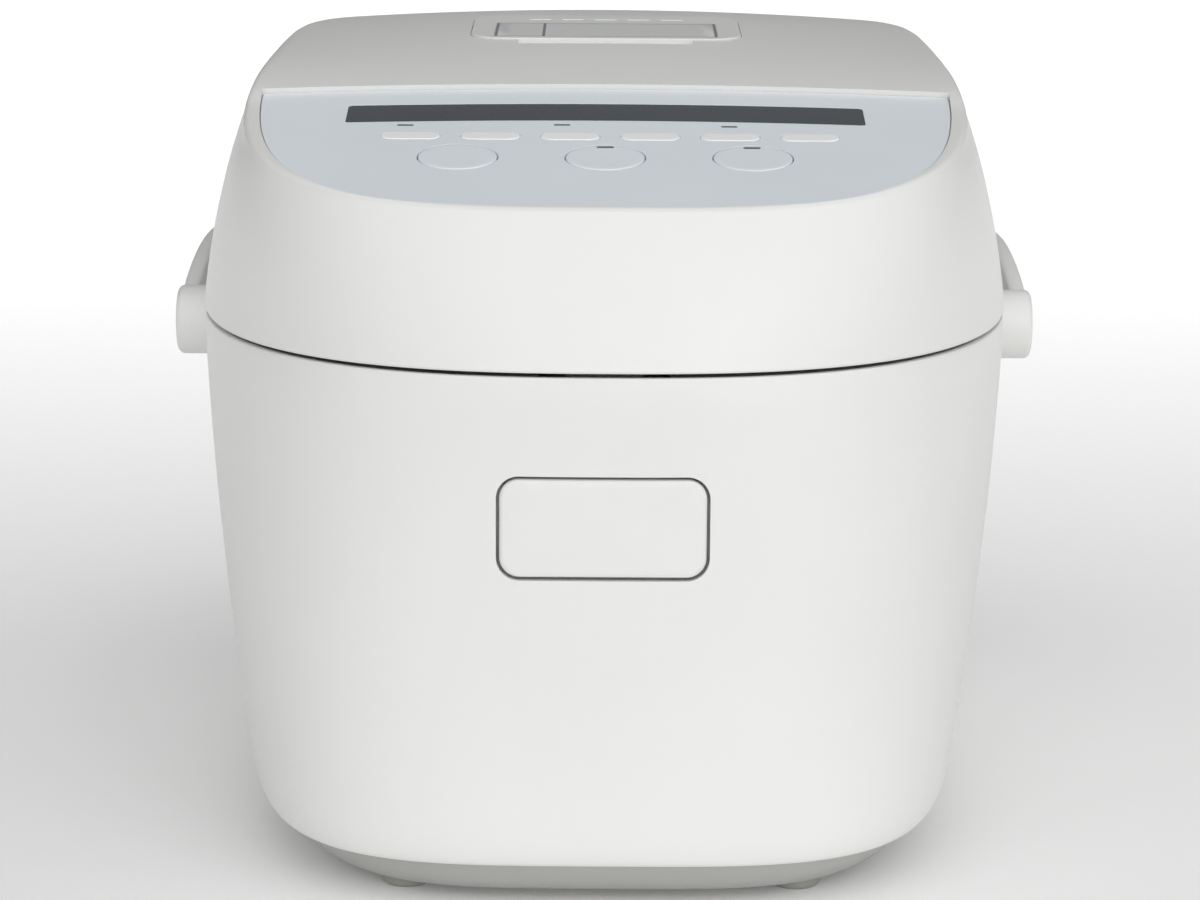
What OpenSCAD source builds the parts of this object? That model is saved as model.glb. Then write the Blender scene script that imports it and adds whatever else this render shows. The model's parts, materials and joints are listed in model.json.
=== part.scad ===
// Rice cooker with a hinged lid, tilted key panel and folding carry handle.
// Millimetres. +Z up, the front faces -Y, origin under the middle of the whole object.

/* [Body] */
// Half width of the body at the lid seam
half_width = 136.9; // [130:0.1:142]
// Half depth of the body at the lid seam
half_depth = 190; // [180:1:200]
// Height of the seam between body and lid
seam_z = 171.6; // [165:0.1:178]
// Wall thickness of the plastic shells
wall = 2.5; // [2:0.1:3]
// Thickness of the lid's top, which carries the key panel
roof = 3.8; // [3.6:0.1:4.5]

/* [Lid] */
// Height of the panel plane at the panel's back edge
panel_back_z = 244; // [240:1:248]
// Tilt of the key panel, low at the front
panel_tilt = 11.68; // [9:0.1:13]
// Radius of the round keys
round_key_r = 12.5; // [11:0.1:13.5]
// Length of the small pill-shaped keys
pill_w = 19; // [16:1:21]

/* [Pot] */
// Outer radius of the inner pot
pot_r = 108; // [100:1:109]
// Height of the pot's flat bottom
pot_floor_z = 48; // [46:1:56]

/* [Handle] */
// Height of the handle's pivots
pivot_z = 158; // [154:1:160]
// Distance from the pivots to the outer side of the crossbar
handle_reach = 212; // [210:1:216]

/* [Hidden] */
$fn = 64;

// The body's plan centre sits forward of the origin, because the folded handle reaches behind it.
plan_y = -(handle_reach - half_depth) / 2;
pot_y = -30;
seam_gap = 0.7;
shell_top = seam_z - seam_gap;
lid_floor = seam_z + seam_gap;
rim_z = 15.5;
ring_steps = 96;
rear_power = 4;

element_r = 50;

// Hinge
hinge_y = 182;
hinge_z = 181;
hinge_pin_r = 2;
cover_r = 8.5;
cover_half = 39;

// Panel
panel_back_y = -51;
panel_half = 114.4;
panel_front = 166.3;
panel_power = 3.8;
panel_t = 1.6;
panel_sink = 0.35;
deck_step = 1.4;
deck_rise = 0.1955;
deck_bend = 0.000703;
deck_crown = 4.6;
round_key_x = 46.7;
round_key_y = -69.8;
pill_h = 7.4;
pill_y = -48.3;
pill_pitch = 25.7;
pill_shift = 1.6;
display_w = 168.8;
display_h = 17.9;
display_y = -22.3;
display_arch = 6.5;
back_arch = 7.3;
back_bow = 3;
board_w = -13.3;

// Steam cap
cap_y = 50;
cap_z = 257.6;
cap_tilt = 3.1;
cap_w = 96;
cap_d = 62;
cap_floor = 236;
vent_y = 50;

// Open button
button_z = 124.5;
button_w = 63;
button_h = 30.4;
button_y = -189.5;

// Latch
latch_y = -168;
latch_z = 148;

// Handle
pivot_pin_r = 4;
handle_half = 145.9;
disc_r = 12.1;
disc_in = 137.9;
disc_out = 149.8;

// ---- Shared helpers ----

module placed() translate([0, plan_y, 0]) children();
module pot_axis() translate([0, pot_y, 0]) children();
module on_panel() translate([0, panel_back_y, panel_back_z]) rotate([panel_tilt, 0, 0]) children();
module on_cap() translate([0, cap_y, cap_z]) rotate([cap_tilt, 0, 0]) children();
module both_sides() {
  children();
  mirror([1, 0, 0]) children();
}
module along_x(length) rotate([90, 0, 90]) translate([0, 0, -length / 2]) linear_extrude(length) children();

// Rounded rectangle centred on the origin
module pill(w, h, r) {
  square([w - 2 * r, h], center = true);
  square([w, h - 2 * r], center = true);
  for (x = [-1, 1], y = [-1, 1]) translate([x * (w / 2 - r), y * (h / 2 - r)]) circle(r);
}
module tube(r_out, r_in, h) difference() {
  cylinder(r = r_out, h = h);
  translate([0, 0, -1]) cylinder(r = r_in, h = h + 2);
}

function smooth(a, b, v) = let (t = min(1, max(0, (v - a) / (b - a)))) t * t * (3 - 2 * t);
function spow(v, p) = sign(v) * pow(abs(v), p);

// Half width, front half depth and front roundness of the body, at depth u under the seam
function body_half(u) = half_width - 0.07 * u - 0.00038 * u * u;
function body_front(u) = half_depth - 0.01 * u - 0.00014 * u * u;
function body_power(u) = 2.56 + 1.19 * u / 156;

// The same for the lid, at height v over the seam
function lid_half(v) = half_width - 0.13 * v - 0.00162 * v * v;
function lid_front(v) = half_depth - 0.3 * v - 0.0027 * v * v;
function lid_rear(v) = half_depth - 0.1 * v - 0.0024 * v * v;
function lid_power(v) = 2.56 + 0.79 * min(1, v / 55);

// Point at angle t on a ring whose front and rear halves have their own depth and roundness
function ring_xy(t, a, front, rear, power) =
  let (n = sin(t) < 0 ? power : rear_power, b = sin(t) < 0 ? front : rear)
  [a * spow(cos(t), 2 / n), b * spow(sin(t), 2 / n)];

// Angles crowd towards the corners, so that every stretch of a ring is about as long
function ring_angle(i) = let (t = 360 * i / ring_steps) t + 6 * sin(4 * t);

function body_ring(z, inset) =
  let (u = seam_z - z)
  [for (i = [0 : ring_steps - 1])
    let (p = ring_xy(ring_angle(i), body_half(u) - inset, body_front(u) - inset,
                     half_depth - 0.4 * u / 13 - inset, body_power(u)))
    [p[0], p[1], z]];

// Closed skin through a list of rings: looped joins the last ring to the first
module skin(rings, looped) {
  count = len(rings);
  size = len(rings[0]);
  points = [for (r = rings) each r];
  bands = looped ? count : count - 1;
  sides = [for (k = [0 : bands - 1], i = [0 : size - 1])
    let (a = k * size, b = ((k + 1) % count) * size, j = (i + 1) % size)
    each [[a + i, b + i, b + j], [a + i, b + j, a + j]]];
  ends = looped ? [] : [
    for (i = [1 : size - 2]) [0, i, i + 1],
    for (i = [1 : size - 2]) let (a = (count - 1) * size) [a, a + i + 1, a + i]
  ];
  polyhedron(points, concat(sides, ends), convexity = 8);
}

// Coil spring along +Z, from z = 0 to its length
module coil(r, wire, length, turns) {
  steps = 12;
  sides = 6;
  count = turns * steps;
  rise = (length - 2 * wire) / count;
  skin([for (k = [0 : count])
    let (a = 360 * k / steps, z = wire + rise * k)
    [for (s = [0 : sides - 1])
      let (q = -360 * s / sides, d = r + wire * cos(q))
      [d * cos(a), d * sin(a), z + wire * sin(q)]]], false);
}

// ---- Lid surface ----

function panel_plane(y) = panel_back_z + tan(panel_tilt) * (y - panel_back_y);
function lid_top(x, y) =
  let (s = y - panel_back_y)
  s < 0 ? panel_plane(y) + deck_step * smooth(-16, -5, s)
        : panel_back_z + deck_step + deck_rise * s - deck_bend * s * s
          - deck_crown * smooth(0, 110, s) * pow(x / 117, 2);
function edge_r(y) = 2.5 + 4.5 * smooth(-60, 40, y);

// Ring of the lid's wall: level 0 is the seam, level 1 is where the top edge starts to round
function lid_wall_xy(t, v, inset) =
  ring_xy(t, lid_half(v) - inset, lid_front(v) - inset, lid_rear(v) - inset, lid_power(v));
function lid_edge_v(t) =
  let (p = lid_wall_xy(t, 62, 0))
  lid_top(p[0], p[1]) - edge_r(p[1]) - seam_z;
function lid_wall_ring(level, inset) =
  [for (i = [0 : ring_steps - 1])
    let (t = ring_angle(i), v = seam_gap + level * (lid_edge_v(t) - seam_gap - inset), p = lid_wall_xy(t, v, inset))
    [p[0], p[1], seam_z + v]];

// Ring over the top: turn goes from 0 to 90 round the edge, then scale shrinks it to the middle
function lid_edge_ring(turn, inset) =
  [for (i = [0 : ring_steps - 1])
    let (t = ring_angle(i), v = lid_edge_v(t), p = lid_wall_xy(t, v - inset, inset),
         r = edge_r(p[1]), k = 1 - r * (1 - cos(turn)) / norm(p), q = p * k)
    [q[0], q[1], lid_top(q[0], q[1]) - r * (1 - sin(turn)) - inset]];
function lid_top_ring(scale, inset) =
  [for (i = [0 : ring_steps - 1])
    let (t = ring_angle(i), v = lid_edge_v(t), p = lid_wall_xy(t, v - inset, inset),
         q = p * (1 - edge_r(p[1]) / norm(p)) * scale)
    [q[0], q[1], lid_top(q[0], q[1]) - inset]];

// ---- Casing ----

module outer_shell() color("whitesmoke") placed() difference() {
  skin(concat(
    [for (s = [[rim_z, 6.2], [rim_z, 4.7], [rim_z + 0.8, 3.2], [19, 1.3], [23, 0.3], [32, 0], [50, 0], [75, 0],
               [100, 0], [125, 0], [150, 0], [shell_top - 0.6, 0], [shell_top, 0.6]]) body_ring(s[0], s[1])],
    [for (s = [[shell_top, wall], [125, wall], [75, wall], [32, wall], [22, wall + 1]]) body_ring(s[0], s[1])]), true);
  // Open button aperture
  translate([0, -half_depth + 20, button_z]) rotate([90, 0, 0]) linear_extrude(30) pill(button_w + 2, button_h + 2, 7);
  // Room for the hinge cover
  translate([-cover_half - 0.2, hinge_y - 6, 162]) cube([2 * cover_half + 0.4, 20, 20]);
  // Handle pivot holes
  both_sides() translate([120, 0, pivot_z]) rotate([0, 90, 0]) cylinder(r = pivot_pin_r, h = 30);
  // Power inlet
  translate([-63.2, 170, 39.8]) cube([30.4, 30, 24.4]);
}

module base_pan() color("darkgray") placed() difference() {
  union() {
    skin([for (s = [[3.5, 22], [3.5, 17.6], [5, 14.4], [9, 10.4], [rim_z - 0.1, 6.4], [rim_z + 5, 6.6],
                    [rim_z + 5, 8.8], [10, 13], [6, 18], [6, 24]]) body_ring(s[0], s[1])], false);
    for (x = [-80, 80], y = [-118, 118]) translate([x, y, 5]) cylinder(r = 5.5, h = rim_z);
  }
  // Screw holes and foot sockets
  for (x = [-80, 80], y = [-118, 118]) translate([x, y, 0]) {
    cylinder(r = 1.6, h = 40);
    cylinder(r = 3.6, h = 6);
  }
  for (x = [-62, 62], y = [-148, 148]) translate([x, y, 0]) cylinder(r = 4, h = 30);
  // Rating plate recess
  translate([-35, -20, 3]) cube([70, 40, 1.1]);
}

module feet() color("dimgray") placed() for (x = [-62, 62], y = [-148, 148]) translate([x, y, 0]) {
  rotate_extrude() polygon([[0, 0], [6.5, 0], [8, 0.8], [8.5, 2.2], [8.5, 3.5], [4, 3.5], [4, 6], [0, 6]]);
}

module base_screws() color("silver") placed() for (x = [-80, 80], y = [-118, 118]) translate([x, y, 3.8]) difference() {
  union() {
    cylinder(r = 3, h = 2.2);
    cylinder(r = 1.5, h = 14);
  }
  for (a = [0, 90]) rotate(a) translate([-2, -0.4, -1]) cube([4, 0.8, 2]);
}

module rating_plate() color("gainsboro") placed() translate([-34.5, -19.5, 3.5]) cube([69, 39, 0.6]);

module top_frame() color("gainsboro") placed() difference() {
  union() {
    translate([0, 0, 165.4]) linear_extrude(4.6) polygon([for (p = body_ring(170, wall + 0.7)) [p[0], p[1]]]);
    pot_axis() translate([0, 0, 158]) cylinder(r = 119.5, h = 8);
  }
  pot_axis() translate([0, 0, 150]) cylinder(r = 112.2, h = 30);
  pot_axis() translate([0, 0, 167.2]) cylinder(r = 117, h = 10);
  // Room for the latch and catch
  translate([-20, -181, 150]) cube([40, 25, 30]);
  // Room for the hinge
  translate([-cover_half - 0.5, 172, 150]) cube([2 * cover_half + 1, 30, 30]);
}

// ---- Heating ----

module inner_case() color("silver") placed() pot_axis() difference() {
  rotate_extrude() polygon([[20, 30], [108, 30], [113.2, 36], [113.2, 158], [112, 158], [112, 36.6],
                            [107.4, 31.2], [20, 31.2]]);
  for (a = [0, 120, 240]) rotate(a) translate([66, 0, 20]) cylinder(r = 1.6, h = 20);
  for (s = [-1, 1]) rotate(s * 10 - 90) translate([element_r, 0, 20]) cylinder(r = 3.6, h = 20);
}

module side_heater() color("tan") placed() pot_axis() translate([0, 0, 85]) tube(115.2, 113.2, 34);

module hot_plate() color("lightslategray") placed() pot_axis() difference() {
  union() {
    translate([0, 0, 40.5]) cylinder(r = 80, h = 7.2);
    for (a = [0, 120, 240]) rotate(a) translate([66, 0, 31.2]) cylinder(r = 4.5, h = 10);
  }
  translate([0, 0, 30]) cylinder(r = 17, h = 30);
  for (a = [0, 120, 240]) rotate(a) translate([66, 0, 30]) cylinder(r = 1.6, h = 12);
}

module heater_element() color("dimgray") placed() pot_axis() rotate(-90) {
  translate([0, 0, 36.5]) rotate(10) rotate_extrude(angle = 340) translate([element_r, 0]) circle(4);
  for (s = [-1, 1]) rotate(s * 10) translate([element_r, 0, 22]) cylinder(r = 3, h = 14.5);
}

module thermal_fuse() color("ivory") placed() pot_axis() rotate([0, 0, 60]) translate([113.2, -6, 60]) difference() {
  cube([5, 12, 22]);
  for (z = [3, 19]) translate([-1, 6, z]) rotate([0, 90, 0]) cylinder(r = 1.5, h = 8);
}

module sensor_bracket() color("silver") placed() pot_axis() difference() {
  union() {
    translate([0, 0, 18]) cylinder(r = 26, h = 1.5);
    translate([0, 0, 18]) cylinder(r = 7.4, h = 6);
    for (a = [0, 90, 180, 270]) rotate(a) translate([21, -4, 18]) cube([5, 8, 12]);
  }
  translate([0, 0, 10]) cylinder(r = 5.05, h = 20);
}

module sensor_spring() color("silver") placed() pot_axis() translate([0, 0, 24.2]) coil(7.2, 0.7, 19.5, 5);

module sensor_cap() color("gainsboro") placed() pot_axis() {
  rotate_extrude() polygon([[0, 47.7], [13, 47.7], [15, 46.4], [15, 37.9], [13.2, 37.9], [13.2, 44], [5, 44],
                            [5, 17.6], [6.6, 17.2], [6.6, 15.2], [0, 15.2]]);
}

// ---- Power ----

module power_board() color("darkgreen") placed() difference() {
  translate([-62, 133, 30]) cube([124, 1.6, 86]);
  for (x = [-57, 57], z = [35, 111]) translate([x, 120, z]) rotate([-90, 0, 0]) cylinder(r = 1.6, h = 30);
}

module board_components() color("slategray") placed() {
  // Transformer, relay, connectors, heat sink and capacitors
  translate([-52, 134.6, 72]) cube([34, 26, 28]);
  translate([-8, 134.6, 78]) cube([20, 15, 16]);
  for (k = [0 : 2]) translate([-50 + k * 22, 134.6, 104]) cube([16, 8, 8]);
  for (k = [0 : 4]) translate([22 + k * 6, 134.6, 74]) cube([2, 22, 34]);
  translate([20, 134.6, 70]) cube([28, 22, 3]);
  for (k = [0 : 2]) translate([-4 + k * 17, 134.6, 48]) rotate([-90, 0, 0]) cylinder(r = 6.5, h = 22);
  translate([-22, 134.6, 62]) rotate([-90, 0, 0]) cylinder(r = 4, h = 12);
}

module board_bracket() color("gainsboro") placed() difference() {
  union() {
    translate([-62, 126, 6]) cube([124, 3, 112]);
    both_sides() translate([50, 100, 6]) cube([6, 26, 20]);
    for (x = [-57, 57], z = [35, 111]) translate([x, 129, z]) rotate([-90, 0, 0]) cylinder(r = 4, h = 4);
  }
  translate([-48, 120, 30]) cube([96, 20, 76]);
  for (x = [-57, 57], z = [35, 111]) translate([x, 110, z]) rotate([-90, 0, 0]) cylinder(r = 1.6, h = 40);
}

module power_inlet() color("dimgray") placed() difference() {
  union() {
    translate([-63, 164, 40]) cube([30, 23, 24]);
    translate([-48, 186.4, 52]) rotate([-90, 0, 0]) linear_extrude(2) pill(40, 34, 5);
  }
  translate([-60, 168, 43]) cube([24, 30, 18]);
  pin_pair();
}

module pin_pair() for (x = [-54.5, -41.5]) translate([x - 1, 158, 50]) cube([2, 26, 4]);

module inlet_pins() color("silver") placed() pin_pair();

// ---- Hinge ----

module hinge_profile(r) translate([hinge_y, hinge_z]) circle(r);

module hinge_bracket() color("silver") placed() difference() {
  union() {
    for (s = [-1, 1]) translate([s * 19, 0, 0]) along_x(10) {
      hinge_profile(5);
      translate([hinge_y - 5, 150]) square([8, hinge_z - 150]);
    }
    translate([-24, 177, 140]) cube([48, 3, 22]);
  }
  translate([0, 0, 0]) along_x(80) hinge_profile(hinge_pin_r);
  for (x = [-18, 18]) translate([x, 170, 146]) rotate([-90, 0, 0]) cylinder(r = 2.2, h = 14);
}

module hinge_pin() color("lightsteelblue") placed() along_x(102) hinge_profile(hinge_pin_r);

module hinge_springs() color("dimgray") placed() for (s = [-1, 1]) {
  translate([s * 31.2 - 5.2, hinge_y, hinge_z]) rotate([0, 90, 0]) coil(3.2, 0.6, 10.4, 7);
}

module hinge_cover() color("whitesmoke") placed() difference() {
  along_x(2 * cover_half) {
    hinge_profile(cover_r);
    translate([hinge_y + 1, 162.2]) square([7.2, hinge_z - 162.2]);
  }
  along_x(2 * cover_half - 4) {
    hinge_profile(6.2);
    translate([hinge_y - 10, 160]) square([16, 10.6]);
    translate([hinge_y - 6, 168]) square([12, 13]);
  }
  along_x(100) hinge_profile(2.6);
}

// ---- Latch and open button ----

module latch_bracket() color("silver") placed() difference() {
  union() {
    both_sides() translate([14, -177.2, 140]) cube([1.5, 16.2, 17]);
    // Back plate, which the button springs push on, hung from the top frame
    translate([-32, -161.5, 114]) cube([64, 1.5, 43]);
    both_sides() translate([21, -161.5, 156]) cube([11, 1.5, 9.4]);
  }
  translate([0, latch_y, latch_z]) rotate([0, 90, 0]) cylinder(r = 2, h = 40, center = true);
}

module latch_pin() color("lightsteelblue") placed() translate([0, latch_y, latch_z]) rotate([0, 90, 0]) {
  cylinder(r = 2, h = 34, center = true);
}

module latch_spring() color("dimgray") placed() translate([7, latch_y, latch_z]) rotate([0, 90, 0]) coil(2.9, 0.5, 5.5, 4);

module latch_lever() color("lightgray") placed() difference() {
  union() {
    translate([0, latch_y, latch_z]) rotate([0, 90, 0]) translate([0, 0, -12]) cylinder(r = 4.2, h = 17.5);
    translate([-12, latch_y - 3, 117]) cube([17.5, 3, 54]);
    translate([5, latch_y - 3, 154]) cube([7, 3, 17]);
    translate([-12, latch_y - 1, 165.5]) cube([24, 5.2, 3]);
  }
  translate([0, latch_y, latch_z]) rotate([0, 90, 0]) cylinder(r = 2.05, h = 60, center = true);
}

module open_button() color("whitesmoke") placed() difference() {
  union() {
    // Face plate, bowed and leaning as the shell round it
    intersection() {
      translate([0, button_y + 6, button_z]) rotate([90, 0, 0]) linear_extrude(12) pill(button_w, button_h, 6);
      translate([0, button_y, button_z]) rotate([1.3, 0, 0]) translate([0, 480, 0]) {
        cylinder(r = 480, h = 80, center = true, $fn = 720);
      }
    }
    // Flange that keeps the button behind the shell
    translate([-35, button_y + 6, button_z - 18.5]) cube([70, 1.6, 37]);
    // Pusher in front of the lever's lower arm, and the spring cups
    translate([-6, button_y + 7, button_z - 6]) cube([12, 11, 8]);
    both_sides() translate([24, button_y + 7, button_z]) rotate([-90, 0, 0]) cylinder(r = 5.4, h = 9);
  }
  both_sides() translate([24, button_y + 7.6, button_z]) rotate([-90, 0, 0]) cylinder(r = 4.4, h = 20);
}

module button_spring() color("silver") placed() both_sides() {
  translate([24, button_y + 12, button_z]) rotate([-90, 0, 0]) coil(3.3, 0.5, 16, 6);
}

// ---- Handle ----

module handle_pivots() color("silver") placed() both_sides() translate([0, 0, pivot_z]) rotate([0, 90, 0]) {
  translate([0, 0, 126]) cylinder(r = pivot_pin_r, h = 18.5);
  translate([0, 0, 126]) cylinder(r = 7, h = 3);
}

// Angle 0 is the right-hand pivot, 90 is the middle of the crossbar and 180 is the left-hand pivot
function handle_rise(y) = 11.5 * sin(180 * pow(y / (handle_reach - 6), 0.8));
function handle_angle(k) = k < 22 ? 90 * pow(k / 22, 1.5) : 180 - 90 * pow((44 - k) / 22, 1.5);
function handle_section(t) =
  let (reach = handle_reach - 6, e = 2 / 4.4,
       x = handle_half * spow(cos(t), e), y = reach * spow(sin(t), e),
       nx = spow(cos(t), 2 - e) / handle_half, ny = spow(sin(t), 2 - e) / reach, m = norm([nx, ny]),
       half_t = 3 + 3 * smooth(35, 75, min(t, 180 - t)), half_h = 9.4)
  [for (c = [[1, -0.55], [0.55, -1], [-0.55, -1], [-1, -0.55], [-1, 0.55], [-0.55, 1], [0.55, 1], [1, 0.55]])
    [x + c[0] * half_t * nx / m, y + c[0] * half_t * ny / m, pivot_z + handle_rise(y) + c[1] * half_h]];

module handle() color("whitesmoke") placed() difference() {
  union() {
    skin([for (k = [0 : 44]) handle_section(min(179.999, max(0.001, handle_angle(k))))], false);
    both_sides() translate([disc_in, 0, pivot_z]) rotate([0, 90, 0]) cylinder(r = disc_r, h = disc_out - disc_in);
  }
  both_sides() translate([disc_in - 1, 0, pivot_z]) rotate([0, 90, 0]) cylinder(r = pivot_pin_r + 0.06, h = 8);
  both_sides() translate([disc_out - 1.6, 0, pivot_z]) rotate([0, 90, 0]) cylinder(r = 9, h = 8);
}

module handle_caps() color("white") placed() both_sides() translate([disc_out - 1.6, 0, pivot_z]) rotate([0, 90, 0]) {
  cylinder(r = 9, h = 1.6);
}

// ---- Pot ----

module inner_pot() color("dimgray") placed() pot_axis() rotate_extrude() {
  polygon(concat(
    [[0, pot_floor_z], [pot_r - 24, pot_floor_z]],
    [for (a = [0 : 15 : 90]) [pot_r - 24 + 24 * sin(a), pot_floor_z + 24 - 24 * cos(a)]],
    [[pot_r, 167.5], [116.2, 167.5], [116.2, 169.5], [pot_r - 2, 169.5]],
    [for (a = [90 : -15 : 0]) [pot_r - 24 + 22 * sin(a), pot_floor_z + 24 - 22 * cos(a)]],
    [[0, pot_floor_z + 2]]));
}

// ---- Lid casing ----

// The panel's back edge and its display bow towards the back in the middle
function arched(x, rise) = -rise * pow(x / 114, 2);
module panel_outline(grow) intersection() {
  polygon([for (i = [0 : ring_steps - 1])
    let (p = ring_xy(ring_angle(i), panel_half + grow, panel_front + grow, panel_front, panel_power))
    [p[0], (p[1] - panel_back_y) / cos(panel_tilt)]]);
  polygon(concat([[-150, -200], [150, -200]],
                 [for (k = [15 : -1 : -15]) [10 * k, back_bow + arched(10 * k, back_arch) + grow]]));
}
module display_outline(grow) {
  half = display_w / 2 + grow;
  h = display_h / 2 + grow;
  polygon(concat([for (k = [-10 : 10]) [k * half / 10, arched(k * half / 10, display_arch) - h]],
                 [for (k = [10 : -1 : -10]) [k * half / 10, arched(k * half / 10, display_arch) + h]]));
}

module cap_outline(grow) pill(cap_w + 2 * grow, cap_d + 2 * grow, 12 + grow);

module lid_cover() color("whitesmoke") placed() difference() {
  skin(concat(
    [for (s = [0.02, 0.2, 0.4, 0.6, 0.8, 1]) lid_top_ring(s, roof)],
    [for (s = [0.93, 0.5, 0]) lid_wall_ring(s, wall)],
    [for (s = [0, 0.15, 0.32, 0.5, 0.68, 0.85, 1]) lid_wall_ring(s, 0)],
    [for (s = [30, 60, 90]) lid_edge_ring(s, 0)],
    [for (s = [0.88, 0.75, 0.6, 0.45, 0.3, 0.15, 0.02]) lid_top_ring(s, 0)]), false);
  // Panel recess and the opening inside its ledge
  on_panel() translate([0, 0, -panel_sink - panel_t]) linear_extrude(20) panel_outline(0.4);
  on_panel() translate([0, 0, -20]) linear_extrude(30) panel_outline(-5);
  // Steam cap pocket and the finger dish in front of it
  translate([0, cap_y, 220]) linear_extrude(60) cap_outline(0.5);
  translate([0, cap_y - cap_d / 2 - 2, panel_back_z + 17.2]) rotate([0, 90, 0]) cylinder(r = 9, h = 62, center = true);
  // Notch round the hinge cover, and pockets for the eyes of the lid base
  hinge_room();
  both_sides() translate([45, 0, 0]) along_x(12) hinge_profile(4.4);
  rear_heel();
}

// Cut round the hinge cover, tall enough for the cover's skirt when the lid is open
module hinge_room() along_x(2 * cover_half + 1) {
  hinge_profile(cover_r + 0.6);
  translate([hinge_y - cover_r - 0.6, 160]) square([30, hinge_z - 160]);
  translate([hinge_y, 160]) square([20, hinge_z - 160 + cover_r + 0.4]);
}

// The rear lower edge of the lid is rounded about the hinge, so that it clears the body as it turns
module rear_heel() difference() {
  translate([-150, hinge_y, 165]) cube([300, 20, hinge_z - 165]);
  along_x(320) hinge_profile(9.4);
}

module lid_base() color("gainsboro") placed() difference() {
  union() {
    translate([0, 0, lid_floor]) linear_extrude(3) polygon([for (p = lid_wall_ring(0, wall + 1)) [p[0], p[1]]]);
    pot_axis() translate([0, 0, lid_floor]) cylinder(r = 119, h = 12.2);
    lid_screw_places() cylinder(r = 4.5, h = 10);
    both_sides() translate([45, 0, 0]) along_x(10) {
      hinge_profile(4.2);
      translate([hinge_y - 7, lid_floor]) square([7, hinge_z - lid_floor]);
    }
  }
  pot_axis() translate([0, 0, 170]) cylinder(r = 117, h = 12.2);
  translate([0, vent_y, 170]) cylinder(r = 12, h = 30);
  along_x(120) hinge_profile(hinge_pin_r + 0.05);
  hinge_room();
  rear_heel();
  lid_screw_places() {
    translate([0, 0, -2]) cylinder(r = 1.6, h = 20);
    translate([0, 0, -2]) cylinder(r = 3.1, h = 3.7);
  }
}

module lid_screw_places() for (x = [-105, 105], y = [-95, 100]) translate([x, y, lid_floor]) children();

module lid_screws() color("silver") placed() lid_screw_places() {
  cylinder(r = 3, h = 1.7);
  cylinder(r = 1.5, h = 9);
}

module lid_catch() color("silver") placed() {
  translate([-8, -159.6, 161]) cube([16, 2.6, lid_floor - 161]);
  translate([-8, -163.2, 161]) cube([16, 3.6, 3]);
}

// ---- Panel ----

module panel_fascia() color("lightsteelblue") placed() on_panel() translate([0, 0, -panel_sink - panel_t]) difference() {
  linear_extrude(panel_t) panel_outline(0);
  translate([0, display_y, -1]) linear_extrude(5) display_outline(0.2);
  for (k = [-1 : 1]) translate([k * round_key_x, round_key_y, -1]) cylinder(r = round_key_r + 0.5, h = 5);
  for (k = [0 : 5]) translate([pill_x(k), pill_y, -1]) linear_extrude(5) pill(pill_w + 0.8, pill_h + 0.8, 4);
}
function pill_x(k) = (k - 2.5) * pill_pitch + pill_shift;

module display_window() color("dimgray") placed() on_panel() translate([0, display_y, -panel_sink - panel_t]) {
  linear_extrude(panel_t) display_outline(0);
}

module display_module() color("darkslategray") placed() on_panel() translate([0, display_y, board_w + 1.6]) {
  translate([-80, -8, 0]) cube([160, 16, 9.6]);
}

module control_board() color("darkgreen") placed() on_panel() translate([-92, -90, board_w]) cube([184, 78, 1.6]);

module tact_switches() color("black") placed() on_panel() {
  for (k = [-1 : 1]) translate([k * round_key_x, round_key_y, board_w + 1.6]) switch();
  for (k = [0 : 5]) translate([pill_x(k), pill_y, board_w + 1.6]) switch();
}
module switch() {
  translate([-3, -3, 0]) cube([6, 6, 2.6]);
  cylinder(r = 1.6, h = 3.4);
}

// Stem down to just over its switch, and a flange that keeps the key under the fascia
module round_key(k) on_panel() translate([k * round_key_x, round_key_y, 0]) {
  translate([0, 0, -3.4]) cylinder(r = round_key_r, h = 3.2);
  translate([0, 0, -3.4]) cylinder(r = round_key_r + 1.2, h = 1);
  translate([0, 0, -7.4]) cylinder(r = 2.4, h = 5);
}
module key_left() color("lightsteelblue") placed() round_key(-1);
module key_middle() color("lightsteelblue") placed() round_key(0);
module key_right() color("lightsteelblue") placed() round_key(1);

module small_key(k) color("aliceblue") placed() on_panel() translate([pill_x(k), pill_y, 0]) {
  translate([0, 0, -3.2]) linear_extrude(3) pill(pill_w, pill_h, 3.6);
  translate([0, 0, -3.4]) linear_extrude(1) pill(pill_w + 2, pill_h + 2, 4.6);
  translate([0, 0, -7.5]) cylinder(r = 2, h = 5);
}
module small_key_1() small_key(0);
module small_key_2() small_key(1);
module small_key_3() small_key(2);
module small_key_4() small_key(3);
module small_key_5() small_key(4);
module small_key_6() small_key(5);

// ---- Under the lid ----

module lid_heater() color("silver") placed() difference() {
  pot_axis() translate([0, 0, 180.7]) cylinder(r = 104, h = 1.5);
  translate([0, vent_y, 170]) cylinder(r = 14, h = 30);
}

module inner_lid() color("silver") placed() difference() {
  pot_axis() rotate_extrude() polygon([[0, 176.4], [92, 176.4], [96, 175], [112, 175], [112, 176.2], [96.6, 176.2],
                                       [92.6, 177.6], [0, 177.6]]);
  translate([0, vent_y, 170]) cylinder(r = 7, h = 20);
}

module inner_lid_gasket() color("gray") placed() pot_axis() rotate_extrude() {
  polygon([[103, 175], [103, 173.4], [105, 172.4], [109, 169.9], [111, 169.9], [111.4, 171.4], [113.4, 173],
           [113.4, 176.4], [112, 176.4], [112, 175]]);
}

module steam_gasket() color("gray") placed() translate([0, vent_y, 176.2 + 1.4]) tube(11, 7.5, 6);

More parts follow.
